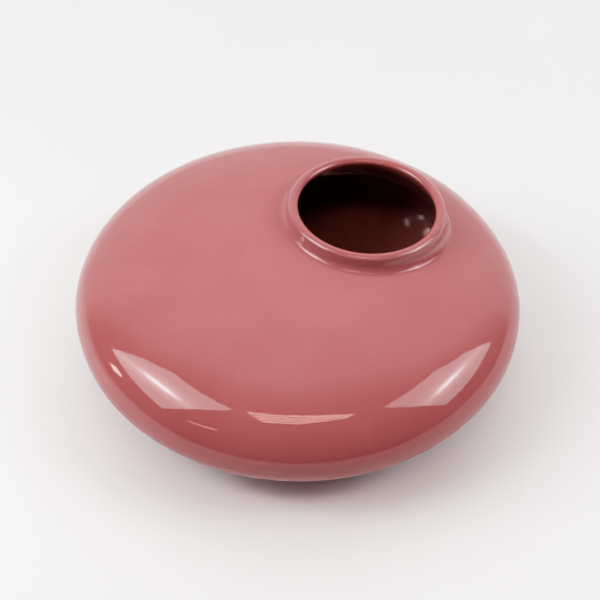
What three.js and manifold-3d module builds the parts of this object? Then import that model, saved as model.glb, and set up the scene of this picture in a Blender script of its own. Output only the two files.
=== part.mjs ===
// A squat round vase with an off-centre mouth: fired clay pieces, luted seams and glaze coats.
// Millimetres, +Z up. The origin is the centre of the foot's contact face, and the mouth lies towards +X.
import * as THREE from "three";
import { mergeVertices } from "three/addons/utils/BufferGeometryUtils.js";
import Module from "manifold-3d";

// Driving dimensions of the body, measured on the glazed surface
const bodyRadius = 115;
const domeRise = 36.5; // crown of the dome above the seam
const bowlDepth = 36.5; // lowest point of the bowl below the seam
const fullness = 2.7; // 2 gives an ellipse, more gives a flatter top and a tighter edge

// Driving dimensions of the layers
const clayWall = 4.5;
const glazeThickness = 0.8;
const slipThickness = 0.8;
const fitGap = 0.3; // clearance between curved neighbours

// Driving dimensions of the mouth, measured on the glazed surface
const mouthOffset = 41.5; // from the body's axis to the middle of the mouth
const collarTilt = THREE.MathUtils.degToRad(2); // lean of the collar away from the body's axis
const throatRadius = 35.3;
const lipThickness = 5.2;
const collarRise = 7.5; // crest of the lip above the dome in the middle of the mouth
const filletRadius = 6; // hollow between lip and dome
const throatLean = THREE.MathUtils.degToRad(38); // slope of the throat from upright, wider downwards
const hollowSweep = THREE.MathUtils.degToRad(70); // how far a hollow turns before it runs out

// Driving dimensions of the foot
const footRadius = 54; // middle of the ring
const footWidth = 7;
const footDrop = 2; // contact face below the lowest point of the bowl
const footEase = 0.8; // bevel on the ring's two lower edges

// Facets
const bodySides = 40;
const bodySteps = 7; // from the seam to a pole
const collarSides = 36;
const lipSteps = 4; // in each half of the lip
const filletSteps = 3;
const flareSteps = 2;

// Sizes that follow from the driving dimensions
const clayDepth = glazeThickness + fitGap; // from a glazed surface to the clay under it
const wall = clayWall + 2 * clayDepth; // from the glazed outside to the glazed inside
const seamBottom = footDrop + bowlDepth;
const seamTop = seamBottom + slipThickness;
const jointDepth = slipThickness + 2 * fitGap; // slip with a clearance on each side
const lipRadius = lipThickness / 2;
const lipBase = collarRise - lipRadius;
const crestRadius = throatRadius + lipRadius;
const collarRadius = throatRadius + lipThickness;
const wallLean = Math.asin((filletRadius - lipBase) / (filletRadius + lipRadius)); // at the lip
const filletX = crestRadius + (filletRadius + lipRadius) * Math.cos(wallLean);
const flareRadius = lipBase + wall; // from the lip down to the ceiling, so that the wall stays even
const flareX = crestRadius + (flareRadius - lipRadius) / Math.cos(throatLean);
const footInner = footRadius - footWidth / 2;
const footOuter = footRadius + footWidth / 2;
const skirtDip = wall / 4; // how far a hollow runs on below the surface that it meets
const plugDepth = wall / 2; // how far the collar's plug runs below the dome
const throatReach = 2 * wall; // how far the throat's plug runs below the dome
const cutMargin = lipThickness; // how far a cutter runs past what it cuts

const wasm = await Module();
wasm.setup();

const glazeLook = { color: 0xc27577, roughness: 0.12, metalness: 0 };
const clayLook = { color: 0xe4d9c8, roughness: 0.85, metalness: 0 };
const slipLook = { color: 0xd3c3ad, roughness: 0.9, metalness: 0 };

// A closed geometry as a solid that can be joined and cut.
function toSolid(geometry) {
  geometry.deleteAttribute("normal");
  geometry.deleteAttribute("uv");
  const merged = mergeVertices(geometry);
  const triVerts = [];
  const index = merged.index.array;
  for (let i = 0; i < index.length; i += 3) {
    const [a, b, c] = index.slice(i, i + 3);
    if (a !== b && b !== c && c !== a) triVerts.push(a, b, c);
  }
  const mesh = new wasm.Mesh({
    numProp: 3,
    vertProperties: merged.attributes.position.array,
    triVerts: Uint32Array.from(triVerts),
  });
  return new wasm.Manifold(mesh);
}

// A finished solid as a named mesh.
function toMesh(name, solid, look) {
  const { vertProperties, triVerts } = solid.getMesh();
  const geometry = new THREE.BufferGeometry();
  geometry.setAttribute("position", new THREE.BufferAttribute(vertProperties, 3));
  geometry.setIndex(new THREE.BufferAttribute(triVerts, 1));
  geometry.computeVertexNormals();
  const mesh = new THREE.Mesh(geometry, new THREE.MeshStandardMaterial(look));
  mesh.name = name;
  return mesh;
}

// A profile of [radius, height] pairs turned about the Z axis.
function turned(points, sides) {
  const profile = points.map(([radius, height]) => new THREE.Vector2(radius, height));
  return new THREE.LatheGeometry(profile, sides).rotateX(Math.PI / 2);
}

// A ring about the Z axis from a profile that closes on itself.
function ring(points, sides) {
  return turned([...points, points[0]], sides);
}

// Points on an arc, by its centre, radius and first and last angle.
function arc([x, y], radius, first, last, steps) {
  return Array.from({ length: steps + 1 }, (_, i) => {
    const angle = first + ((last - first) * i) / steps;
    return [x + radius * Math.cos(angle), y + radius * Math.sin(angle)];
  });
}

// Half the body's profile from the seam to the pole, at a depth below the glazed surface.
function halfProfile(rise, depth) {
  return Array.from({ length: bodySteps + 1 }, (_, i) => {
    const turn = ((i / bodySteps) * Math.PI) / 2;
    const across = i < bodySteps ? Math.cos(turn) ** (2 / fullness) : 0;
    const up = Math.sin(turn);
    const slope = [(fullness * across ** (fullness - 1)) / bodyRadius, (2 * up) / rise];
    const step = depth / Math.hypot(...slope);
    return [bodyRadius * across - step * slope[0], rise * up - step * slope[1]];
  });
}

const domeProfile = (depth) => halfProfile(domeRise, depth).map(([x, y]) => [x, seamTop + y]);
const bowlProfile = (depth) => halfProfile(bowlDepth, depth).map(([x, y]) => [x, seamBottom - y]);

// The whole body, filled, at a depth below the glazed surface.
function bodyForm(depth) {
  return toSolid(turned([...bowlProfile(depth).reverse(), ...domeProfile(depth)], bodySides));
}

// Height of the glazed dome at a distance from the body's axis.
function domeHeight(radius) {
  const share = Math.min(radius / bodyRadius, 1);
  return seamTop + domeRise * Math.sqrt(1 - share ** fullness);
}

// The collar stands on the dome in the middle of the mouth and leans outwards.
const mouthFrame = new THREE.Matrix4()
  .makeRotationY(collarTilt)
  .setPosition(mouthOffset, 0, domeHeight(mouthOffset));

// Level of the glazed dome in the mouth's frame, found by a few steps along the collar's axis.
function domeLevel(x, y) {
  const point = new THREE.Vector3();
  let level = 0;
  for (let pass = 0; pass < 8; pass++) {
    point.set(x, y, level).applyMatrix4(mouthFrame);
    level += domeHeight(Math.hypot(point.x, point.y)) - point.z;
  }
  return level;
}

// Sets a shape turned about the collar's axis on the dome: its foot follows the dome, its lip stays flat.
function seated(geometry) {
  const position = geometry.attributes.position;
  for (let i = 0; i < position.count; i++) {
    const follow = 1 - THREE.MathUtils.clamp(position.getZ(i) / lipBase, 0, 1);
    const level = domeLevel(position.getX(i), position.getY(i));
    position.setZ(i, position.getZ(i) + follow * level);
  }
  return toSolid(geometry.applyMatrix4(mouthFrame));
}

// A curve that leaves a leaning wall, turns outwards and runs out straight to a depth below the dome.
function runOut([x, y], radius, lean, dip, steps) {
  const hollow = arc([x, y], radius, Math.PI + hollowSweep, Math.PI + lean, steps);
  const [footX, footY] = hollow[0];
  return [[footX + (footY + dip) * Math.tan(hollowSweep), -dip], ...hollow];
}

// The outside of the collar as a filled plug, at a depth below the glazed surface.
function collarForm(depth) {
  const skirt = runOut([filletX, filletRadius], filletRadius + depth, wallLean, skirtDip, filletSteps);
  return seated(
    turned(
      [
        [0, -plugDepth],
        [skirt[0][0], -plugDepth],
        ...skirt,
        ...arc([crestRadius, lipBase], lipRadius - depth, wallLean, Math.PI / 2, lipSteps),
        [0, collarRise - depth],
      ],
      collarSides,
    ),
  );
}

// The hole through the collar, filled, with its wall moved out into the material by a depth.
function throatForm(depth) {
  const skirt = runOut([flareX, lipBase], flareRadius - depth, throatLean, wall + skirtDip, flareSteps);
  return seated(
    turned(
      [
        [0, -throatReach],
        [skirt[0][0], -throatReach],
        ...skirt,
        ...arc([crestRadius, lipBase], lipRadius - depth, Math.PI + throatLean, Math.PI / 2, lipSteps),
        [crestRadius, collarRise + cutMargin],
        [0, collarRise + cutMargin],
      ],
      collarSides,
    ),
  );
}

const outerForm = (depth) => bodyForm(depth).add(collarForm(depth));
const innerForm = (depth) => bodyForm(wall - depth).add(throatForm(depth));

// A layer of slip on the clay surface of the body.
const slipLayer = bodyForm(clayDepth - fitGap - slipThickness).subtract(bodyForm(clayDepth - fitGap));

// Fired clay
const baseBowl = toSolid(
  ring([...bowlProfile(wall - clayDepth), ...bowlProfile(clayDepth).reverse()], bodySides),
);

const topDome = toSolid(
  ring([...domeProfile(clayDepth), ...domeProfile(wall - clayDepth).reverse()], bodySides),
).subtract(throatForm(clayDepth));

const collarPlug = collarForm(clayDepth);
const mouthCollar = collarPlug
  .subtract(bodyForm(clayDepth - jointDepth))
  .subtract(throatForm(clayDepth));

const footBlank = toSolid(
  ring(
    [
      [footInner + footEase, 0],
      [footOuter - footEase, 0],
      [footOuter, footEase],
      [footOuter, seamBottom],
      [footInner, seamBottom],
      [footInner, footEase],
    ],
    bodySides,
  ),
);
const footRing = footBlank.subtract(bodyForm(clayDepth - jointDepth));

// Slip in the luted seams
const equatorSlip = toSolid(
  ring(
    [
      [bodyRadius - wall + clayDepth, seamBottom],
      [bodyRadius - clayDepth, seamBottom],
      [bodyRadius - clayDepth, seamTop],
      [bodyRadius - wall + clayDepth, seamTop],
    ],
    bodySides,
  ),
);
const collarSlip = collarPlug.intersect(slipLayer).subtract(throatForm(clayDepth));
const footSlip = footBlank.intersect(slipLayer);

// Cutters that part the coats at the crest of the lip and at the foot
const crestInside = toSolid(
  turned(
    [
      [0, lipBase],
      [crestRadius + fitGap / 2, lipBase],
      [crestRadius + fitGap / 2, collarRise + cutMargin],
      [0, collarRise + cutMargin],
    ],
    collarSides,
  ).applyMatrix4(mouthFrame),
);
const crestOutside = toSolid(
  ring(
    [
      [crestRadius - fitGap / 2, lipBase],
      [collarRadius + cutMargin, lipBase],
      [collarRadius + cutMargin, collarRise + 2 * cutMargin],
      [crestRadius - fitGap / 2, collarRise + 2 * cutMargin],
    ],
    collarSides,
  ).applyMatrix4(mouthFrame),
);
const underside = (radius) =>
  toSolid(
    turned(
      [
        [0, 0],
        [radius, 0],
        [radius, seamBottom],
        [0, seamBottom],
      ],
      bodySides,
    ),
  );

// Glaze coats
const outerSkin = outerForm(0).subtract(outerForm(glazeThickness));
const outerGlaze = outerSkin.subtract(crestInside).subtract(underside(footOuter + fitGap));
const baseGlaze = outerSkin.intersect(underside(footInner - fitGap));
const innerGlaze = innerForm(glazeThickness).subtract(innerForm(0)).subtract(crestOutside);

const group = new THREE.Group();
group.add(
  toMesh("base_bowl", baseBowl, clayLook),
  toMesh("top_dome", topDome, clayLook),
  toMesh("mouth_collar", mouthCollar, clayLook),
  toMesh("foot_ring", footRing, clayLook),
  toMesh("equator_slip", equatorSlip, slipLook),
  toMesh("collar_slip", collarSlip, slipLook),
  toMesh("foot_slip", footSlip, slipLook),
  toMesh("outer_glaze", outerGlaze, glazeLook),
  toMesh("inner_glaze", innerGlaze, glazeLook),
  toMesh("base_glaze", baseGlaze, glazeLook),
);

export default group;
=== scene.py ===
"""Looks of a squat round vase: a glossy rose glaze over luted clay, on a pale table in soft light."""

import math

import bmesh
import bpy
import numpy as np
from mathutils import Matrix, Vector


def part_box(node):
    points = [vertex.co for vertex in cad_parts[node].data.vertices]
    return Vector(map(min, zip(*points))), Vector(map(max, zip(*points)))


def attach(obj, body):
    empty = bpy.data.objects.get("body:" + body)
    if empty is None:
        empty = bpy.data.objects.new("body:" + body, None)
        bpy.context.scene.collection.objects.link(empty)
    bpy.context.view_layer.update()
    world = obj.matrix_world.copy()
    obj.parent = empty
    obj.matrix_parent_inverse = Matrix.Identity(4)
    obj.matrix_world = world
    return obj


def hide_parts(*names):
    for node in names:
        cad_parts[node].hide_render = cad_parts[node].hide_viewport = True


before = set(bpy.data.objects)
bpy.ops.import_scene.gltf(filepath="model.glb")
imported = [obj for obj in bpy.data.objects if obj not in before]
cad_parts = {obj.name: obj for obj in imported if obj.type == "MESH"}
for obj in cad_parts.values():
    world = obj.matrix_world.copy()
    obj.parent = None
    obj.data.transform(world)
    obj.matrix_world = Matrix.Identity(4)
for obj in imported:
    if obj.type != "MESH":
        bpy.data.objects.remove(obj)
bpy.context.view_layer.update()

MM = 0.001

# Sizes of the body, most of them read from the solids
GLAZE_THICKNESS = 0.8 * MM
POURED_THICKNESS = 0.25 * MM  # coat inside the hollow
CLAY_DEPTH = 1.1 * MM  # from a glazed surface to the clay under it
FULLNESS = 2.7  # 2 gives an ellipse, more gives a flatter top and a tighter edge
BODY_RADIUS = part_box("outer_glaze")[1].x
WALL = BODY_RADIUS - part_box("inner_glaze")[1].x + GLAZE_THICKNESS
SEAM_LOW, SEAM_HIGH = (corner.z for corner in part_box("equator_slip"))
BOWL_DEPTH = SEAM_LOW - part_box("base_glaze")[0].z
DOME_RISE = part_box("top_dome")[1].z + CLAY_DEPTH - SEAM_HIGH
FOOT_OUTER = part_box("foot_ring")[1].x
BASE_GLAZE_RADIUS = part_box("base_glaze")[1].x

# Sizes of the mouth, measured on the glazed surface
MOUTH_OFFSET = 41.5 * MM
COLLAR_TILT = math.radians(2)
COLLAR_RISE = 7.5 * MM
THROAT_RADIUS = 35.3 * MM
LIP_THICKNESS = 5.2 * MM
LIP_RADIUS = LIP_THICKNESS / 2
LIP_BASE = COLLAR_RISE - LIP_RADIUS
CREST_RADIUS = THROAT_RADIUS + LIP_RADIUS

# Outline of the lip and the collar's wall, from the crest outwards and down to the dome
CREST_BEND = 2.0 * MM
SLOPE_BEND = 4.8 * MM  # flatter slope on both sides of the crest
SLOPE_TURN = math.radians(62)  # angle above level that the outline faces where the slope starts
SLOPE_X = CREST_RADIUS + (CREST_BEND - SLOPE_BEND) * math.cos(SLOPE_TURN)
SLOPE_RISE = COLLAR_RISE - CREST_BEND + (CREST_BEND - SLOPE_BEND) * math.sin(SLOPE_TURN)
SHOULDER_BEND = 1.2 * MM  # tight rounding at the lip's outer edge
SHOULDER_TURN = math.radians(42)  # angle above level that the outline faces where the slope ends
SHOULDER_X = SLOPE_X + (SLOPE_BEND - SHOULDER_BEND) * math.cos(SHOULDER_TURN)
SHOULDER_RISE = SLOPE_RISE + (SLOPE_BEND - SHOULDER_BEND) * math.sin(SHOULDER_TURN)
WALL_LEAN = math.radians(18)  # lean of the collar's outer wall from upright
FILLET_RADIUS = 4.5 * MM  # hollow where that wall meets the dome
FILLET_GAP = SHOULDER_BEND + FILLET_RADIUS + (SHOULDER_RISE - FILLET_RADIUS) * math.sin(WALL_LEAN)
FILLET_X = SHOULDER_X + FILLET_GAP / math.cos(WALL_LEAN)

# Outline of the throat, from the crest inwards and down to the hollow's ceiling
INNER_SLOPE_X = 2 * CREST_RADIUS - SLOPE_X
INNER_REACH = INNER_SLOPE_X - THROAT_RADIUS - SLOPE_BEND * math.cos(SHOULDER_TURN)
INNER_BEND = INNER_REACH / (1 - math.cos(SHOULDER_TURN))  # rounding at the lip's inner edge
INNER_X = THROAT_RADIUS + INNER_BEND
INNER_RISE = SLOPE_RISE + (SLOPE_BEND - INNER_BEND) * math.sin(SHOULDER_TURN)
THROAT_LEAN = math.radians(38)  # slope of the throat from upright, wider downwards
THROAT_EASE = 0.5  # how far under the dome the throat starts to follow the lip, in lip heights
FLARE_RADIUS = LIP_BASE + WALL  # from the lip down to the ceiling, so that the wall stays even
FLARE_GAP = FLARE_RADIUS - INNER_BEND + (INNER_RISE - LIP_BASE) * math.sin(THROAT_LEAN)
FLARE_X = INNER_X + FLARE_GAP / math.cos(THROAT_LEAN)

# Sizes of the foot
FOOT_WIDTH = 7 * MM
FOOT_EASE = 1.0 * MM  # rounding of the ring's two lower edges
FOOT_SEAT = 0.4 * MM  # how far the ring's top lies under the glazed surface
FOOT_GAP = 0.1 * MM  # from the ring out to the edge of the outer coat
GLAZE_EDGE = FOOT_OUTER + FOOT_GAP

# Unevenness of the walls: waves by their pitch in radians per metre, their phase and their size
RIPPLE = (
    (Vector((61, 37, 90)), 0.4, 0.05 * MM),
    (Vector((-48, 83, 55)), 1.9, 0.05 * MM),
    (Vector((112, -74, 120)), 2.7, 0.025 * MM),
    (Vector((35, 128, -160)), 5.1, 0.02 * MM),
)
LUMPS = (
    (Vector((390, 120, 210)), 0.3),
    (Vector((-160, 340, 180)), 2.1),
    (Vector((230, -310, 260)), 4.0),
    (Vector((-90, -210, 420)), 5.2),
)
LUMP_RISE = 1.6 * MM
LUMP_FADE = 20 * MM  # from the ceiling down to where the lumps are full
SEAM_SWELL = 5 * MM  # clay left along the seam inside
SEAM_SPREAD = 11 * MM

# Facets
COLUMNS = 192
CURVE_STEPS = 4000
DOME_STEPS = 60
BOWL_STEPS = 40
FILLET_STEPS = 24
WALL_STEPS = 10
SHOULDER_STEPS = 10
LIP_STEPS = 8  # on the crest and on each slope beside it
EDGE_STEPS = 12
THROAT_STEPS = 6
FLARE_STEPS = 16
CEILING_STEPS = 40
FLOOR_STEPS = 48
FLOOR_FAN = 1 / 60  # size of the fan at the floor's pole, in parts of the run from pole to seam
DISC_STEPS = 24
DISC_FAN = 1 / 30  # the same under the base, in parts of the disc
FOOT_EASE_STEPS = 6
FOOT_TOP_STEPS = 7
SETTLE_STEPS = 8  # steps that settle on the dome's height along the collar's axis

# Colours
ROSE = (0.393, 0.131, 0.135)
ROSE_CLOUD = (0.409, 0.143, 0.147)
# paler rose painted on the collar's outer wall as sheen, a painted reflection
ROSE_PAINTED_SHEEN = (0.43, 0.178, 0.184)
ROSE_FLECK = (0.33, 0.096, 0.100)
PIT_BROWN = (0.17, 0.04, 0.04)
# dark brown painted in the throat as the shade under the lip
THROAT_PAINTED_SHADE = (0.13, 0.045, 0.04)
HOLLOW_BROWN = (0.40, 0.175, 0.165)
CLAY_PALE, CLAY_DARK = (0.78, 0.70, 0.59), (0.72, 0.62, 0.50)
SLIP_PALE, SLIP_DARK = (0.66, 0.56, 0.44), (0.60, 0.49, 0.37)
GRIT_SHADE = 0.55  # of the darker clay
TABLE_PALE, TABLE_DARK = (0.805, 0.82, 0.825), (0.785, 0.80, 0.805)
WHITE_LIGHT = (1, 0.985, 1)
LAMP_LIGHT = (1, 0.67, 0.55)
TUBE_LIGHT = (1, 0.6, 0.5)
WINDOW_LIGHT = (1, 0.89, 0.77)
ROOM_LIGHT = (1, 1, 1)

# Grain of the finishes, in cells per metre
ROSE_CLOUDS = 28
ROSE_FLECKS = 1500
ROSE_PITS = 520
ROSE_PEEL = 420
GLOSS_CLOUDS = 60
CLAY_CLOUDS = 90
CLAY_GRIT = 1400
CLAY_GRAIN = 1800
CLAY_SHEEN = 500
TABLE_CLOUDS = 9

# Range of a noise or of a dot's radius in which each grain fades in, and how strong it gets
CLOUD_LOW, CLOUD_HIGH = 0.3, 0.7
FLECK_LOW, FLECK_HIGH, FLECK_SHARE = 0.52, 0.72, 0.18
GRIT_LOW, GRIT_HIGH, GRIT_SHARE = 0.58, 0.72, 0.6
PIT_CORE, PIT_EDGE, PIT_SHARE = 0.06, 0.16, 0.5
PIT_CHOICE = 0.72  # only the dots whose random tint is paler than this are pits
PEEL_DEPTH, PEEL_STRENGTH = 0.02 * MM, 0.6
PIT_DEPTH, PIT_STRENGTH = 0.08 * MM, 0.6
GRAIN_DEPTH, GRAIN_STRENGTH = 0.15 * MM, 0.5

# Gloss of the finishes, smoothest and roughest
GLAZE_ROUGHNESS = (0.03, 0.06)
POURED_ROUGHNESS = (0.04, 0.13)  # at the lip and in the hollow
CLAY_ROUGHNESS = (0.78, 0.92)
TABLE_ROUGHNESS = 0.6
GLAZE_IOR = 1.5
GLAZE_SHINE = 0.5
TABLE_SHINE = 0.25

# The camera, from the middle of the body
VIEW_TURN = math.radians(34.3)  # from the picture's right round to the mouth
CAMERA_RISE = math.radians(45.8)
CAMERA_ROLL = math.radians(1.1)
CAMERA_DISTANCE = 690 * MM
CAMERA_SENSOR = 36  # millimetres, as is the lens
CAMERA_LENS = 79.4
AIM_RIGHT = 1.1 * MM
AIM_UP = -2.5 * MM

# The camera's response, from the light it takes in to the tone it shows
RESPONSE_POWER = 1.6  # more than 1 deepens the dark tones
RESPONSE_KNEE = 0.3  # less levels the pale tones sooner
RESPONSE_STEPS = 24
COMBINED_CURVE = 3  # after the ones for red, green and blue

# The table
TABLE_NEAR = 2.9 * BODY_RADIUS
TABLE_FAR = 14 * BODY_RADIUS
TABLE_SIDE = 12 * BODY_RADIUS

# Daylight from the left, and a lamp beside the vase for the table
LIGHT_DISTANCE = 20 * BODY_RADIUS
DAYLIGHT_AZIMUTH = -88
DAYLIGHT_RISE = 30
DAYLIGHT_SIZE = 8 * BODY_RADIUS
DAYLIGHT_ENERGY = 2.4
POOL_LEFT = 2.6 * BODY_RADIUS
POOL_NEAR = 0.4 * BODY_RADIUS
POOL_RISE = 1.2 * BODY_RADIUS
POOL_SIZE = 1.2 * BODY_RADIUS
POOL_ENERGY = 0.12

# Light panels: corners as slopes across and up from the panel's middle
SOFTBOX = [(-0.39, -0.34), (0.26, -0.31), (0.28, 0.40), (0.08, 0.315), (-0.11, 0.235), (-0.265, 0.015)]
LAMP = [(-0.32, 0.06), (0.0, 0.03), (0.325, 0.0), (0.27, -0.075), (0.01, -0.125), (-0.225, -0.1)]
WINDOW = [(-0.055, -0.03), (0.01, -0.05), (0.07, 0.0), (0.07, 0.05), (-0.01, 0.06)]
TUBE = [(-0.08, -0.08), (0.105, 0.0), (0.1, 0.022), (-0.075, -0.055)]

# The bright bar in a soft box, and the haze round it
BAR_BOW = -0.9
BAR_WIDTH = 0.06
BAR_FULL, BAR_LENGTH = 0.02, 0.2  # from its middle to where it starts to fade, and to its end
BAR_END = 0.1  # share of its light that is left at its end
HAZE_LIGHT = 0.3  # share of the bar's light
HAZE_WIDTH = 0.2
HAZE_LENGTH = 0.35
HAZE_END = 0.2

# The slats of the lamp
SLAT_PITCH = 0.02  # from the middle of a slat to the middle of a gap
SLAT_SLOPE = 0.09
SLAT_WAVER = 0.03
WAVER_GRAIN = 14
SLAT_EDGE = 0.016
SLAT_SHADE, GAP_LIGHT = 0.1, 1.45  # shares of the lamp's light

# The room, by how far behind the vase a direction points, from -1 in front to 1 behind, and its light there
ROOM_STOPS = ((-0.9, 0.035), (-0.18, 0.24), (0.08, 0.825), (0.5, 1.005))
ROOM_BOW = 0.65  # how far its bright part draws back at the sides
DIM_AT_HORIZON = 0.45
DIM_UP_TO = 0.87
DIM_ASIDE = 0.4  # share of the dimming that is left at the sides
ASIDE_FROM, ASIDE_TO = 0.1, 0.6

RIGHT = Vector((math.cos(VIEW_TURN), -math.sin(VIEW_TURN), 0))
BACK = Vector((math.sin(VIEW_TURN), math.cos(VIEW_TURN), 0))
UP = Vector((0, 0, 1))
MIDDLE = Vector((0, 0, (SEAM_LOW + SEAM_HIGH) / 2))


# Shape of the body


def half_curve(rise, depth):
    """Radius and height above the seam, from the pole to the seam, at a depth under the glazed surface."""
    turns = np.linspace(math.pi / 2, 0, CURVE_STEPS)
    across = np.cos(turns) ** (2 / FULLNESS)
    across[0] = 0
    up = np.sin(turns)
    slope_out = FULLNESS * across ** (FULLNESS - 1) / BODY_RADIUS
    slope_up = 2 * up / rise
    step = depth / np.hypot(slope_out, slope_up)
    return BODY_RADIUS * across - step * slope_out, rise * up - step * slope_up


class Half:
    """Half of the body at a depth, told by the distance from its pole along the surface."""

    def __init__(self, seam, rise, depth, facing):
        self.radius, height = half_curve(rise, depth)
        self.level = seam + facing * height
        steps = np.hypot(np.diff(self.radius), np.diff(self.level))
        self.run = np.concatenate([[0], np.cumsum(steps)])

    def run_at(self, radius):
        return np.interp(radius, self.radius, self.run)

    def level_at(self, radius):
        return np.interp(radius, self.radius, self.level)

    def points(self, run, angle):
        radius = np.interp(run, self.run, self.radius)
        level = np.interp(run, self.run, self.level)
        return np.stack([radius * np.cos(angle), radius * np.sin(angle), level], axis=-1)


def dome(depth):
    return Half(SEAM_HIGH, DOME_RISE, depth, 1)


def bowl(depth):
    return Half(SEAM_LOW, BOWL_DEPTH, depth, -1)


OUTER_DOME = dome(0)
OUTER_BOWL = bowl(0)
INNER_DOME = dome(WALL)
INNER_BOWL = bowl(WALL)


# Shape of the collar

MOUTH_LEVEL = float(OUTER_DOME.level_at(MOUTH_OFFSET))
PAINTED_SHADE_TOP = MOUTH_LEVEL + 0.8 * LIP_BASE  # where the painted shade in the throat starts
PAINTED_SHADE_FULL = MOUTH_LEVEL - 0.5 * LIP_BASE  # where the painted shade is full
BROWN_TOP = MOUTH_LEVEL - 2 * WALL  # where it starts to turn brown, further down
BROWN_FULL = MIDDLE.z + DOME_RISE / 3  # where it is brown
ANGLES = np.arange(COLUMNS) * 2 * math.pi / COLUMNS


def from_mouth(x, y, height):
    """Points given about the collar's axis, in the part's frame."""
    out = x * math.cos(COLLAR_TILT) + height * math.sin(COLLAR_TILT) + MOUTH_OFFSET
    up = height * math.cos(COLLAR_TILT) - x * math.sin(COLLAR_TILT) + MOUTH_LEVEL
    return np.stack([out, y, up], axis=-1)


def level_in_mouth(x, y, half):
    """Height of a dome about the collar's axis, by a few steps along that axis."""
    level = np.zeros_like(x)
    for _ in range(SETTLE_STEPS):
        point = from_mouth(x, y, level)
        level = level + half.level_at(np.hypot(point[..., 0], point[..., 1])) - point[..., 2]
    return level


def ring_of(radius):
    return radius * np.cos(ANGLES), radius * np.sin(ANGLES)


def collar_row(radius, height):
    """A ring of the collar's outside: its foot follows the dome, its lip stays flat."""
    x, y = ring_of(radius)
    follow = 1 - min(max(height / LIP_BASE, 0), 1)
    return from_mouth(x, y, height + follow * level_in_mouth(x, y, OUTER_DOME))


def throat_row(radius, height):
    """A ring of the collar's inside: its lip stays flat, and it eases down to the hollow's ceiling."""
    x, y = ring_of(radius)
    level = level_in_mouth(x, y, OUTER_DOME)
    wall = level - level_in_mouth(x, y, INNER_DOME)
    share = min(max((height / LIP_BASE + THROAT_EASE) / (1 + THROAT_EASE), 0), 1)
    under = min(height, 0) * (wall / WALL - 1)
    return from_mouth(x, y, height + under + (1 - share**2) * level)


def bend(x, height, radius, first, last, steps):
    """Points of an arc in an outline, by its middle, radius and first and last angle."""
    turns = np.linspace(first, last, steps + 1)
    return [(x + radius * math.cos(turn), height + radius * math.sin(turn)) for turn in turns]


def straight(first, last, steps):
    """Points between two points of an outline."""
    shares = np.linspace(0, 1, steps + 1)[1:-1]
    return [tuple(np.add(first, np.subtract(last, first) * share)) for share in shares]


def angles_of(row):
    return np.arctan2(row[:, 1], row[:, 0])


def spread(start_row, half, steps):
    """Rows from a ring round the mouth out to the seam, straight on the flattened dome."""
    start_run = half.run_at(np.hypot(start_row[:, 0], start_row[:, 1]))
    start_angle = angles_of(start_row)
    flat = np.stack([start_run * np.cos(start_angle), start_run * np.sin(start_angle)], axis=-1)
    heading = flat - np.array([half.run_at(MOUTH_OFFSET), 0])
    heading /= np.linalg.norm(heading, axis=1, keepdims=True)
    along = np.sum(flat * heading, axis=1)
    reach = -along + np.sqrt(along**2 + half.run[-1] ** 2 - np.sum(flat**2, axis=1))
    rows = []
    for share in np.linspace(0, 1, steps + 1)[1:]:
        x, y = (flat + heading * (reach * share)[:, None]).T
        rows.append(half.points(np.hypot(x, y), np.arctan2(y, x)))
    return rows


def along_meridians(half, angle, first_run, last_run, steps):
    runs = np.linspace(first_run, last_run, steps + 1)
    return [half.points(np.full(COLUMNS, run), angle) for run in runs]


def outside_rows():
    """Rows of the glazed outside, from the foot up the bowl and over the dome to the crest of the lip."""
    top, dome_turn, wall_turn = math.pi / 2, math.pi * 3 / 2, math.pi + WALL_LEAN
    fillet = bend(FILLET_X, FILLET_RADIUS, FILLET_RADIUS, dome_turn, wall_turn, FILLET_STEPS)
    shoulder = bend(SHOULDER_X, SHOULDER_RISE, SHOULDER_BEND, WALL_LEAN, SHOULDER_TURN, SHOULDER_STEPS)
    slope = bend(SLOPE_X, SLOPE_RISE, SLOPE_BEND, SHOULDER_TURN, SLOPE_TURN, LIP_STEPS)
    crest = bend(CREST_RADIUS, COLLAR_RISE - CREST_BEND, CREST_BEND, SLOPE_TURN, top, LIP_STEPS)
    wall = straight(fillet[-1], shoulder[0], WALL_STEPS)
    collar = [collar_row(*point) for point in fillet + wall + shoulder + slope[1:] + crest[1:]]
    over = spread(collar[0], OUTER_DOME, DOME_STEPS)
    edge_run = float(OUTER_BOWL.run_at(GLAZE_EDGE))
    under = along_meridians(OUTER_BOWL, angles_of(over[-1]), edge_run, OUTER_BOWL.run[-1], BOWL_STEPS)
    return under + over[::-1] + collar


def inside_rows():
    """Rows of the glazed inside, from the crest of the lip down the throat and round to the floor."""
    top, slope_turn, edge_turn = math.pi / 2, math.pi - SLOPE_TURN, math.pi - SHOULDER_TURN
    throat_turn, ceiling_turn = math.pi + THROAT_LEAN, math.pi * 3 / 2
    crest = bend(CREST_RADIUS, COLLAR_RISE - CREST_BEND, CREST_BEND, top, slope_turn, LIP_STEPS)
    slope = bend(INNER_SLOPE_X, SLOPE_RISE, SLOPE_BEND, slope_turn, edge_turn, LIP_STEPS)
    edge = bend(INNER_X, INNER_RISE, INNER_BEND, edge_turn, throat_turn, EDGE_STEPS)
    flare = bend(FLARE_X, LIP_BASE, FLARE_RADIUS, throat_turn, ceiling_turn, FLARE_STEPS)
    between = straight(edge[-1], flare[0], THROAT_STEPS)
    throat = [throat_row(*point) for point in crest + slope[1:] + edge[1:] + between + flare]
    ceiling = spread(throat[-1], INNER_DOME, CEILING_STEPS)
    seam_run = INNER_BOWL.run[-1]
    floor = along_meridians(INNER_BOWL, angles_of(ceiling[-1]), seam_run, seam_run * FLOOR_FAN, FLOOR_STEPS)
    return throat + ceiling + floor


# Meshes


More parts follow.
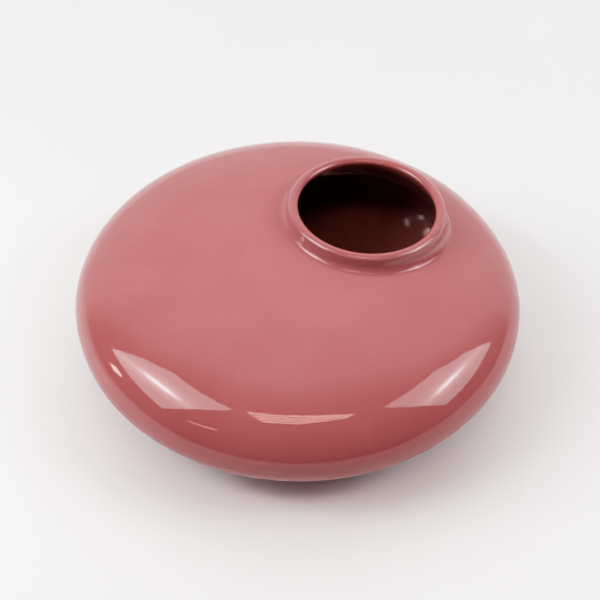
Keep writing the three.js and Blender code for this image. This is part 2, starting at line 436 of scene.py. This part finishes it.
def row_normals(rows):
    """Normals of a stack of rings, pointing to the left of the way the rows run."""
    step = np.diff(rows, axis=0)
    length = np.linalg.norm(step, axis=2, keepdims=True)
    slope = step / length
    middle = (slope[:-1] * length[1:] + slope[1:] * length[:-1]) / (length[:-1] + length[1:])
    up_row = np.concatenate([slope[:1], middle, slope[-1:]])
    along_row = np.roll(rows, -1, axis=1) - np.roll(rows, 1, axis=1)
    normals = np.cross(along_row, up_row)
    return normals / np.linalg.norm(normals, axis=2, keepdims=True)


def ripple(points):
    """Slow unevenness of a hand-finished wall, as a small push along the normal."""
    return sum(size * np.sin(points @ np.array(pitch) + phase) for pitch, phase, size in RIPPLE)


def lumps(points):
    """Unevenness that hands leave in a hollow which no tool reaches, growing from its ceiling downwards."""
    swell = sum(1 + np.sin(points @ np.array(pitch) + phase) for pitch, phase in LUMPS) / (2 * len(LUMPS))
    reach = np.clip((INNER_DOME.level[0] - points[..., 2]) / LUMP_FADE, 0, 1)
    off_seam = (points[..., 2] - MIDDLE.z) / SEAM_SPREAD
    return LUMP_RISE * swell * reach + SEAM_SWELL * np.exp(-(off_seam**2))


def ring_faces(first, second):
    """Faces between two rings of points, by the number of each ring's first point."""
    return [
        (first + column, first + (column + 1) % COLUMNS, second + (column + 1) % COLUMNS, second + column)
        for column in range(COLUMNS)
    ]


def fan_faces(ring, pole):
    """Faces between a ring of points and one point in its middle."""
    return [(ring + column, ring + (column + 1) % COLUMNS, pole) for column in range(COLUMNS)]


def mesh_piece(name, verts, faces, normals, material):
    mesh = bpy.data.meshes.new(name)
    mesh.from_pydata(verts.tolist(), [], faces)
    bm = bmesh.new()
    bm.from_mesh(mesh)
    bmesh.ops.recalc_face_normals(bm, faces=bm.faces)
    bm.to_mesh(mesh)
    bm.free()
    mesh.polygons.foreach_set("use_smooth", [True] * len(mesh.polygons))
    if normals is not None:
        mesh.normals_split_custom_set_from_vertices(normals.tolist())
    mesh.materials.append(material)
    piece = bpy.data.objects.new(name, mesh)
    bpy.context.scene.collection.objects.link(piece)
    return piece


def coat(name, front, normals, thickness, material, pole=False):
    """A closed coat: its glazed face, the face on the clay, and the edges or the pole between them."""
    back = front - normals * thickness
    verts = np.concatenate([front.reshape(-1, 3), back.reshape(-1, 3)])
    turned = np.concatenate([normals.reshape(-1, 3), -normals.reshape(-1, 3)])
    last = (len(front) - 1) * COLUMNS
    behind = len(front) * COLUMNS
    faces = ring_faces(0, behind)
    for ring in range(0, last, COLUMNS):
        faces += ring_faces(ring, ring + COLUMNS)
        faces += ring_faces(behind + ring, behind + ring + COLUMNS)
    if pole:
        middle = np.stack([front[-1].mean(axis=0), back[-1].mean(axis=0)])
        aim = normals[-1].mean(axis=0)
        verts = np.concatenate([verts, middle])
        turned = np.concatenate([turned, [aim, -aim]])
        faces += fan_faces(last, 2 * behind)
        faces += fan_faces(behind + last, 2 * behind + 1)
    else:
        faces += ring_faces(last, behind + last)
    return mesh_piece(name, verts, faces, turned, material)


# Materials


class Nodes:
    """A node tree, with short calls for the nodes that the finishes, the lights and the room share."""

    MIX_FIRST, MIX_SECOND, MIX_RESULT = 6, 7, 2  # the colour sockets of a mix

    def __init__(self, owner, place):
        owner.use_nodes = True
        self.tree = owner.node_tree
        self.place = self.add("ShaderNodeTexCoord").outputs[place]

    def add(self, kind, **settings):
        node = self.tree.nodes.new(kind)
        for name, value in settings.items():
            setattr(node, name, value)
        return node

    def feed(self, socket, value):
        if isinstance(value, bpy.types.NodeSocket):
            self.tree.links.new(value, socket)
        else:
            socket.default_value = value

    def part(self, axis):
        node = self.add("ShaderNodeSeparateXYZ")
        self.feed(node.inputs["Vector"], self.place)
        return node.outputs[axis]

    def noise(self, scale, detail=2.0, roughness=0.5):
        node = self.add("ShaderNodeTexNoise")
        self.feed(node.inputs["Vector"], self.place)
        self.feed(node.inputs["Scale"], scale)
        self.feed(node.inputs["Detail"], detail)
        self.feed(node.inputs["Roughness"], roughness)
        return node.outputs["Fac"]

    def dots(self, scale):
        node = self.add("ShaderNodeTexVoronoi")
        self.feed(node.inputs["Vector"], self.place)
        self.feed(node.inputs["Scale"], scale)
        return node.outputs["Distance"], node.outputs["Color"]

    def ramp(self, value, low, high, to_low, to_high, kind="SMOOTHSTEP"):
        node = self.add("ShaderNodeMapRange", interpolation_type=kind)
        self.feed(node.inputs["Value"], value)
        self.feed(node.inputs["From Min"], low)
        self.feed(node.inputs["From Max"], high)
        self.feed(node.inputs["To Min"], to_low)
        self.feed(node.inputs["To Max"], to_high)
        return node.outputs["Result"]

    def clouds(self, scale, detail=2.0, low=0.0, high=1.0):
        return self.ramp(self.noise(scale, detail), CLOUD_LOW, CLOUD_HIGH, low, high)

    def math(self, operation, first, second):
        node = self.add("ShaderNodeMath", operation=operation)
        self.feed(node.inputs[0], first)
        self.feed(node.inputs[1], second)
        return node.outputs["Value"]

    def mix(self, share, first, second):
        node = self.add("ShaderNodeMix", data_type="RGBA")
        self.feed(node.inputs["Factor"], share)
        for socket, colour in ((self.MIX_FIRST, first), (self.MIX_SECOND, second)):
            self.feed(node.inputs[socket], (*colour, 1) if isinstance(colour, tuple) else colour)
        return node.outputs[self.MIX_RESULT]

    def bump(self, height, distance, strength, under=None):
        node = self.add("ShaderNodeBump")
        self.feed(node.inputs["Height"], height)
        self.feed(node.inputs["Distance"], distance)
        self.feed(node.inputs["Strength"], strength)
        if under is not None:
            self.feed(node.inputs["Normal"], under)
        return node.outputs["Normal"]


class Finish(Nodes):
    """A material's node tree, by the piece's own coordinates."""

    def __init__(self, name):
        self.material = bpy.data.materials.new(name)
        super().__init__(self.material, "Object")
        self.shader = self.tree.nodes["Principled BSDF"]

    def set(self, **inputs):
        for name, value in inputs.items():
            self.feed(self.shader.inputs[name.replace("_", " ")], value)


def painted_sheen_on_collar(nodes):
    """Share of a point that lies on the collar's outer wall, where a paler rose is painted as sheen: a
    painted reflection.
    """
    flat = nodes.add("ShaderNodeMapping")
    nodes.feed(flat.inputs["Vector"], nodes.place)
    flat.inputs["Location"].default_value = (-MOUTH_OFFSET, 0, 0)
    flat.inputs["Scale"].default_value = (1, 1, 0)
    reach = nodes.add("ShaderNodeVectorMath", operation="LENGTH")
    nodes.feed(reach.inputs[0], flat.outputs["Vector"])
    radius = reach.outputs["Value"]
    begun = nodes.ramp(radius, CREST_RADIUS, SHOULDER_X + SHOULDER_BEND, 0.0, 1.0)
    ended = nodes.ramp(radius, FILLET_X - FILLET_RADIUS, FILLET_X - FILLET_RADIUS / 3, 1.0, 0.0)
    high = nodes.math("GREATER_THAN", nodes.part("Z"), MOUTH_LEVEL - 2 * COLLAR_RISE)
    return nodes.math("MULTIPLY", nodes.math("MULTIPLY", begun, ended), high)


def rose_glaze(name):
    """Glossy dusty-rose glaze: slow clouding, a fine fleck, small pinholes and a faint orange peel."""
    nodes = Finish(name)
    rose = nodes.mix(nodes.clouds(ROSE_CLOUDS, detail=3.0), ROSE, ROSE_CLOUD)
    # painted sheen: a paler rose on the collar's outer wall stands in for its reflection
    rose = nodes.mix(painted_sheen_on_collar(nodes), rose, ROSE_PAINTED_SHEEN)
    flecks = nodes.noise(ROSE_FLECKS, roughness=0.6)
    fleck = nodes.ramp(flecks, FLECK_LOW, FLECK_HIGH, 0.0, FLECK_SHARE)
    near, tint = nodes.dots(ROSE_PITS)
    chosen = nodes.math("GREATER_THAN", tint, PIT_CHOICE)
    pits = nodes.math("MULTIPLY", nodes.ramp(near, PIT_CORE, PIT_EDGE, 1.0, 0.0), chosen)
    stain = nodes.math("MULTIPLY", pits, PIT_SHARE)
    colour = nodes.mix(stain, nodes.mix(fleck, rose, ROSE_FLECK), PIT_BROWN)
    smooth, rough = GLAZE_ROUGHNESS
    peel = nodes.bump(nodes.noise(ROSE_PEEL), PEEL_DEPTH, PEEL_STRENGTH)
    pitted = nodes.bump(nodes.math("SUBTRACT", 1.0, pits), PIT_DEPTH, PIT_STRENGTH, under=peel)
    nodes.set(Base_Color=colour, Normal=pitted)
    nodes.set(Roughness=nodes.clouds(GLOSS_CLOUDS, low=smooth, high=rough))
    nodes.set(IOR=GLAZE_IOR, Specular_IOR_Level=GLAZE_SHINE)
    return nodes, colour


def poured_glaze():
    """The same glaze poured into the hollow: rose at the lip, painted shade darkening the throat, brown and
    dull below.
    """
    nodes, rose = rose_glaze("poured_glaze")
    level = nodes.part("Z")
    # painted shade: darker down the throat; the same share makes the glaze rougher
    deep_shade = nodes.ramp(level, PAINTED_SHADE_FULL, PAINTED_SHADE_TOP, 1.0, 0.0)
    low = nodes.ramp(level, BROWN_FULL, BROWN_TOP, 1.0, 0.0)
    brown = nodes.mix(low, THROAT_PAINTED_SHADE, HOLLOW_BROWN)
    nodes.set(Base_Color=nodes.mix(deep_shade, rose, brown))
    nodes.set(Roughness=nodes.ramp(deep_shade, 0.0, 1.0, *POURED_ROUGHNESS))
    return nodes.material


def bare_clay(name, pale, dark):
    """Matt fired clay: warm clouding, gritty specks and an open grain."""
    nodes = Finish(name)
    tone = nodes.mix(nodes.clouds(CLAY_CLOUDS, detail=4.0), pale, dark)
    specks = nodes.noise(CLAY_GRIT, detail=3.0, roughness=0.7)
    grit = nodes.ramp(specks, GRIT_LOW, GRIT_HIGH, 0.0, GRIT_SHARE)
    grit_tone = tuple(GRIT_SHADE * channel for channel in dark)
    smooth, rough = CLAY_ROUGHNESS
    grain = nodes.noise(CLAY_GRAIN, detail=4.0, roughness=0.7)
    nodes.set(Base_Color=nodes.mix(grit, tone, grit_tone))
    nodes.set(Roughness=nodes.clouds(CLAY_SHEEN, low=smooth, high=rough))
    nodes.set(Normal=nodes.bump(grain, GRAIN_DEPTH, GRAIN_STRENGTH))
    return nodes.material


def table_paper():
    """Pale matt paper with a slow clouding."""
    nodes = Finish("table_paper")
    nodes.set(Base_Color=nodes.mix(nodes.clouds(TABLE_CLOUDS, detail=3.0), TABLE_PALE, TABLE_DARK))
    nodes.set(Roughness=TABLE_ROUGHNESS, Specular_IOR_Level=TABLE_SHINE)
    return nodes.material


# Pieces

glaze = rose_glaze("rose_glaze")[0].material
poured = poured_glaze()
clay = bare_clay("fired_clay", CLAY_PALE, CLAY_DARK)
slip = bare_clay("fired_slip", SLIP_PALE, SLIP_DARK)


def dress(piece, slot, *nodes):
    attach(piece, "root")
    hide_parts(*nodes)


def glaze_coats():
    """The coats outside and inside, which meet on the crest of the lip."""
    outside = outside_rows()
    crest = len(outside) - 1
    rows = np.array(outside[:-1] + inside_rows())
    push = ripple(rows)
    push[crest:] += lumps(rows[crest:])
    rows = rows + row_normals(rows) * push[..., None]
    normals = row_normals(rows)
    outer = coat("glaze_outside", rows[: crest + 1], normals[: crest + 1], GLAZE_THICKNESS, glaze)
    inner = coat("glaze_inside", rows[crest:], normals[crest:], POURED_THICKNESS, poured, pole=True)
    dress(outer, "glaze", "outer_glaze")
    dress(inner, "glaze", "inner_glaze")


def base_glaze_disc():
    """The disc of glaze under the bowl, which faces down."""
    edge = float(OUTER_BOWL.run_at(BASE_GLAZE_RADIUS))
    rows = np.array(along_meridians(OUTER_BOWL, ANGLES, edge, edge * DISC_FAN, DISC_STEPS))
    normals = row_normals(rows)
    normals *= np.where(normals[..., 2:] > 0, -1, 1)
    piece = coat("glaze_under_base", rows, normals, GLAZE_THICKNESS, glaze, pole=True)
    dress(piece, "glaze", "base_glaze")


def foot():
    """Bare foot ring: a turned ring with rounded lower edges, let into the bowl."""
    inner = FOOT_OUTER - FOOT_WIDTH
    quarter = math.pi / 2
    seat = bowl(FOOT_SEAT)
    lower_out = bend(FOOT_OUTER - FOOT_EASE, FOOT_EASE, FOOT_EASE, 0, -quarter, FOOT_EASE_STEPS)
    lower_in = bend(inner + FOOT_EASE, FOOT_EASE, FOOT_EASE, -quarter, -2 * quarter, FOOT_EASE_STEPS)
    across = np.linspace(inner, FOOT_OUTER, FOOT_TOP_STEPS + 1)
    profile = lower_out + lower_in + [(radius, float(seat.level_at(radius))) for radius in across]
    rings = [np.stack([*ring_of(radius), np.full(COLUMNS, height)], axis=-1) for radius, height in profile]
    starts = [row * COLUMNS for row in range(len(profile))]
    faces = []
    for start, after in zip(starts, starts[1:] + starts[:1]):
        faces += ring_faces(start, after)
    piece = mesh_piece("bare_foot_ring", np.concatenate(rings), faces, None, clay)
    dress(piece, "clay", "foot_ring", "foot_slip")


glaze_coats()
base_glaze_disc()
foot()

UNDER_GLAZE = (
    (clay, ("base_bowl", "top_dome", "mouth_collar")),
    (slip, ("equator_slip", "collar_slip")),
)
for material, nodes in UNDER_GLAZE:
    for node in nodes:
        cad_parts[node].data.materials.clear()
        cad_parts[node].data.materials.append(material)


# Table


def table():
    """Pale table top, with its near edge in front of the vase."""
    corners = [
        (-TABLE_SIDE, -TABLE_NEAR),
        (TABLE_SIDE, -TABLE_NEAR),
        (TABLE_SIDE, TABLE_FAR),
        (-TABLE_SIDE, TABLE_FAR),
    ]
    verts = np.array([RIGHT * across + BACK * away for across, away in corners])
    top = mesh_piece("table_top", verts, [(0, 1, 2, 3)], None, table_paper())
    return top


table_top = table()


# Lights


def direction(azimuth, rise):
    """Unit vector from the vase: azimuth from the camera's side towards the picture's right, in degrees."""
    azimuth, rise = math.radians(azimuth), math.radians(rise)
    level = RIGHT * math.sin(azimuth) - BACK * math.cos(azimuth)
    return level * math.cos(rise) + UP * math.sin(rise)


class Glow(Finish):
    """Light of a panel, by the panel's own coordinates."""

    def __init__(self, name, colour):
        super().__init__(name)
        self.tree.nodes.remove(self.shader)
        self.across, self.up = self.part("X"), self.part("Y")
        self.light = self.add("ShaderNodeEmission")
        self.light.inputs["Color"].default_value = (*colour, 1)
        surface = self.tree.nodes["Material Output"].inputs["Surface"]
        self.tree.links.new(self.light.outputs["Emission"], surface)

    def lit(self, strength):
        self.feed(self.light.inputs["Strength"], strength)
        return self.material


def even_glow(name, colour, strength):
    return Glow(name, colour).lit(strength)


def barred_glow(name, colour, strength, bar, lean):
    """An even light with a brighter bowed bar across it."""
    glow = Glow(name, colour)
    bow = glow.math("MULTIPLY", glow.math("MULTIPLY", glow.across, glow.across), BAR_BOW)
    line = glow.math("ADD", glow.math("MULTIPLY", glow.across, lean), bow)
    off = glow.math("ABSOLUTE", glow.math("SUBTRACT", glow.up, line), 0.0)
    along = glow.math("ABSOLUTE", glow.across, 0.0)
    core_end = glow.ramp(along, BAR_FULL, BAR_LENGTH, 1.0, BAR_END)
    core = glow.math("MULTIPLY", glow.ramp(off, 0.0, BAR_WIDTH, bar, 0.0), core_end)
    haze_end = glow.ramp(along, 0.0, HAZE_LENGTH, 1.0, HAZE_END)
    haze = glow.math("MULTIPLY", glow.ramp(off, 0.0, HAZE_WIDTH, HAZE_LIGHT * bar, 0.0), haze_end)
    return glow.lit(glow.math("ADD", glow.math("ADD", core, haze), strength))


def lined_glow(name, colour, strength):
    """A light behind a few slats that run along it."""
    glow = Glow(name, colour)
    level = glow.math("ADD", glow.up, glow.math("MULTIPLY", glow.across, SLAT_SLOPE))
    waver = glow.math("MULTIPLY", glow.noise(WAVER_GRAIN), SLAT_WAVER)
    off = glow.math("PINGPONG", glow.math("ADD", level, waver), SLAT_PITCH)
    return glow.lit(glow.ramp(off, 0.0, SLAT_EDGE, SLAT_SHADE * strength, GAP_LIGHT * strength))


def panel(name, azimuth, rise, outline, material):
    """A flat light that faces the vase, by its outline as slopes across and up from its own middle."""
    aim = direction(azimuth, rise)
    across = direction(azimuth + 90, 0)
    up = across.cross(aim) * -1
    spot = MIDDLE + aim * LIGHT_DISTANCE
    verts = np.array([(x, y, 0) for x, y in outline])
    piece = mesh_piece(name, verts, [tuple(range(len(outline)))], None, material)
    place = Matrix((across, up, across.cross(up))).transposed() * LIGHT_DISTANCE
    piece.matrix_world = Matrix.Translation(spot) @ place.to_4x4()
    piece.visible_camera = False


def panels():
    """Two soft boxes, a slatted lamp overhead, a small window and a tube."""
    left = barred_glow("left_glow", WHITE_LIGHT, strength=2.9, bar=9, lean=0.5)
    right = barred_glow("right_glow", WHITE_LIGHT, strength=2.5, bar=6.8, lean=-0.25)
    lamp = lined_glow("lamp_glow", LAMP_LIGHT, strength=5.1)
    window = even_glow("window_glow", WINDOW_LIGHT, strength=7.2)
    tube = even_glow("tube_glow", TUBE_LIGHT, strength=6.5)
    panel("left_softbox", azimuth=-78, rise=43, outline=SOFTBOX, material=left)
    panel("right_softbox", azimuth=85, rise=38, outline=[(-x, y) for x, y in SOFTBOX], material=right)
    panel("ceiling_lamp", azimuth=2, rise=67, outline=LAMP, material=lamp)
    panel("left_window", azimuth=-90.3, rise=14, outline=WINDOW, material=window)
    panel("far_tube", azimuth=-45, rise=34, outline=TUBE, material=tube)


panels()


def soft_lamp(name, spot, size, energy):
    """A broad soft light that shines down unless it is turned, and that the glaze doesn't mirror."""
    data = bpy.data.lights.new(name, "AREA")
    data.shape = "DISK"
    data.size = size
    data.energy = energy
    lamp = bpy.data.objects.new(name, data)
    lamp.location = spot
    lamp.visible_glossy = False
    lamp.visible_camera = False
    bpy.context.scene.collection.objects.link(lamp)
    return lamp


def daylight():
    """Daylight from the left, turned to the vase's middle."""
    aim = direction(DAYLIGHT_AZIMUTH, DAYLIGHT_RISE)
    lamp = soft_lamp("left_daylight", MIDDLE + aim * LIGHT_DISTANCE, DAYLIGHT_SIZE, DAYLIGHT_ENERGY)
    lamp.rotation_euler = aim.to_track_quat("Z", "Y").to_euler()


def table_lamp():
    """A lamp beside the vase whose light falls on the table alone."""
    beside = UP * POOL_RISE - RIGHT * POOL_LEFT - BACK * POOL_NEAR
    lamp = soft_lamp("left_pool", beside, POOL_SIZE, POOL_ENERGY)
    lit = bpy.data.collections.new("lit_by_pool")
    lit.objects.link(table_top)
    lamp.light_linking.receiver_collection = lit


daylight()
table_lamp()


def studio():
    """Bright wall and ceiling behind the vase, fading to a dim room in front."""
    world = bpy.data.worlds.new("studio")
    room = Nodes(world, "Generated")

    def towards(axis):
        node = room.add("ShaderNodeVectorMath", operation="DOT_PRODUCT")
        room.feed(node.inputs[0], room.place)
        room.feed(node.inputs[1], axis)
        return node.outputs["Value"]

    side = towards(RIGHT)
    aside = room.math("MULTIPLY", side, side)
    behind = room.math("SUBTRACT", towards(BACK), room.math("MULTIPLY", aside, ROOM_BOW))
    light = ROOM_STOPS[0][1]
    for (start, before), (end, after) in zip(ROOM_STOPS, ROOM_STOPS[1:]):
        light = room.math("ADD", room.ramp(behind, start, end, 0.0, after - before, kind="LINEAR"), light)
    low = room.ramp(towards(UP), 0.0, DIM_UP_TO, DIM_AT_HORIZON, 0.0, kind="LINEAR")
    dim = room.math("MULTIPLY", low, room.ramp(aside, ASIDE_FROM, ASIDE_TO, 1.0, DIM_ASIDE, kind="LINEAR"))
    background = room.tree.nodes["Background"]
    background.inputs["Color"].default_value = (*ROOM_LIGHT, 1)
    room.feed(background.inputs["Strength"], room.math("MULTIPLY", light, room.math("SUBTRACT", 1.0, dim)))
    bpy.context.scene.world = world


studio()


# Camera


def camera():
    """The camera, which looks past the middle of the body by a small aim and is rolled a little."""
    data = bpy.data.cameras.new("camera")
    data.lens = CAMERA_LENS
    data.sensor_width = CAMERA_SENSOR
    back_off = direction(0, math.degrees(CAMERA_RISE))
    spot = MIDDLE + back_off * CAMERA_DISTANCE
    target = MIDDLE + RIGHT * AIM_RIGHT + RIGHT.cross(-back_off) * AIM_UP
    gaze = (target - spot).normalized()
    level = gaze.cross(UP).normalized()
    right = level * math.cos(CAMERA_ROLL) + level.cross(gaze) * math.sin(CAMERA_ROLL)
    axes = Matrix((right, right.cross(gaze), -gaze)).transposed()
    holder = bpy.data.objects.new("camera", data)
    holder.matrix_world = Matrix.Translation(spot) @ axes.to_4x4()
    bpy.context.scene.collection.objects.link(holder)
    bpy.context.scene.camera = holder


camera()


def camera_response():
    """Tone curve of the camera: dark tones fall away and pale ones level out."""
    view = bpy.context.scene.view_settings
    view.view_transform = "Standard"
    view.look = "None"
    view.use_curve_mapping = True
    tones = view.curve_mapping.curves[COMBINED_CURVE].points
    for step in range(1, RESPONSE_STEPS):
        light = (step / RESPONSE_STEPS) ** 2
        taken = light**RESPONSE_POWER
        tones.new(light, taken * (1 + RESPONSE_KNEE) / (taken + RESPONSE_KNEE))
    view.curve_mapping.update()


camera_response()
